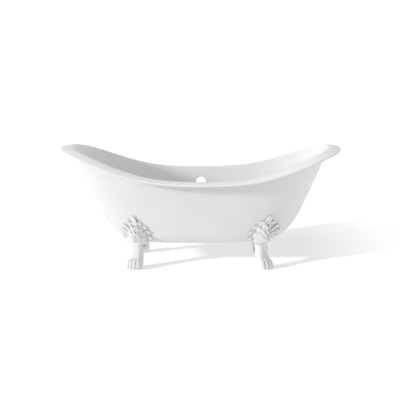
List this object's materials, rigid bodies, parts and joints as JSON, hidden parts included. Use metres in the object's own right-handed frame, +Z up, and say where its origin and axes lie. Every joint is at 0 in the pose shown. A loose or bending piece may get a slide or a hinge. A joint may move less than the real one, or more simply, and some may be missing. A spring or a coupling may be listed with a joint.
{
  "type": "freestanding bath",
  "caption": "Double-ended slipper bath of enamelled cast iron with a rolled rim that sweeps up at the ends, on lion-paw feet with levelling glides.",
  "frame": {"origin": "on the floor, under the middle of the bath", "axes": "+X along the bath, +Y across it towards the wall with the overflow hole, +Z up"},
  "size_m": [1.83, 0.78, 0.7681],
  "materials": {
    "enamelled_iron": "gloss white enamel",
    "painted_iron": "satin white paint",
    "zinc_steel": "zinc plated",
    "glide_nylon": "matt"
  },
  "bodies": {
    "tub": {"tub_shell": "enamelled_iron", "foot_rear_right": "painted_iron", "foot_stud_rear_right": "zinc_steel", "foot_washer_rear_right": "zinc_steel", "foot_spring_washer_rear_right": "zinc_steel", "foot_nut_rear_right": "zinc_steel", "levelling_jam_nut_rear_right": "zinc_steel", "foot_rear_left": "painted_iron", "foot_stud_rear_left": "zinc_steel", "foot_washer_rear_left": "zinc_steel", "foot_spring_washer_rear_left": "zinc_steel", "foot_nut_rear_left": "zinc_steel", "levelling_jam_nut_rear_left": "zinc_steel", "foot_front_right": "painted_iron", "foot_stud_front_right": "zinc_steel", "foot_washer_front_right": "zinc_steel", "foot_spring_washer_front_right": "zinc_steel", "foot_nut_front_right": "zinc_steel", "levelling_jam_nut_front_right": "zinc_steel", "foot_front_left": "painted_iron", "foot_stud_front_left": "zinc_steel", "foot_washer_front_left": "zinc_steel", "foot_spring_washer_front_left": "zinc_steel", "foot_nut_front_left": "zinc_steel", "levelling_jam_nut_front_left": "zinc_steel"},
    "levelling_glide_rear_right": {"levelling_glide_rear_right": "glide_nylon"},
    "levelling_screw_rear_right": {"levelling_screw_rear_right": "zinc_steel"},
    "levelling_glide_rear_left": {"levelling_glide_rear_left": "glide_nylon"},
    "levelling_screw_rear_left": {"levelling_screw_rear_left": "zinc_steel"},
    "levelling_glide_front_right": {"levelling_glide_front_right": "glide_nylon"},
    "levelling_screw_front_right": {"levelling_screw_front_right": "zinc_steel"},
    "levelling_glide_front_left": {"levelling_glide_front_left": "glide_nylon"},
    "levelling_screw_front_left": {"levelling_screw_front_left": "zinc_steel"}
  },
  "joints": [
    {"name": "glide_slide_rear_right", "type": "slide", "parent": "tub", "child": "levelling_glide_rear_right", "axis": [0, 0, -1], "range_m": [0, 0.0105]},
    {"name": "screw_turn_rear_right", "type": "hinge", "parent": "levelling_glide_rear_right", "child": "levelling_screw_rear_right", "pos_m": [0.41139, 0.24558, 0.009], "axis": [0, 0, -1], "range_deg": [0, 2160]},
    {"name": "glide_slide_rear_left", "type": "slide", "parent": "tub", "child": "levelling_glide_rear_left", "axis": [0, 0, -1], "range_m": [0, 0.0105]},
    {"name": "screw_turn_rear_left", "type": "hinge", "parent": "levelling_glide_rear_left", "child": "levelling_screw_rear_left", "pos_m": [-0.41139, 0.24558, 0.009], "axis": [0, 0, -1], "range_deg": [0, 2160]},
    {"name": "glide_slide_front_right", "type": "slide", "parent": "tub", "child": "levelling_glide_front_right", "axis": [0, 0, -1], "range_m": [0, 0.0105]},
    {"name": "screw_turn_front_right", "type": "hinge", "parent": "levelling_glide_front_right", "child": "levelling_screw_front_right", "pos_m": [0.41139, -0.24558, 0.009], "axis": [0, 0, -1], "range_deg": [0, 2160]},
    {"name": "glide_slide_front_left", "type": "slide", "parent": "tub", "child": "levelling_glide_front_left", "axis": [0, 0, -1], "range_m": [0, 0.0105]},
    {"name": "screw_turn_front_left", "type": "hinge", "parent": "levelling_glide_front_left", "child": "levelling_screw_front_left", "pos_m": [-0.41139, -0.24558, 0.009], "axis": [0, 0, -1], "range_deg": [0, 2160]}
  ],
  "couplings": [
    {"joint": "screw_turn_rear_right", "follows": "glide_slide_rear_right", "rad_per_m": 3590.4},
    {"joint": "screw_turn_rear_left", "follows": "glide_slide_rear_left", "rad_per_m": 3590.4},
    {"joint": "screw_turn_front_right", "follows": "glide_slide_front_right", "rad_per_m": 3590.4},
    {"joint": "screw_turn_front_left", "follows": "glide_slide_front_left", "rad_per_m": 3590.4}
  ]
}
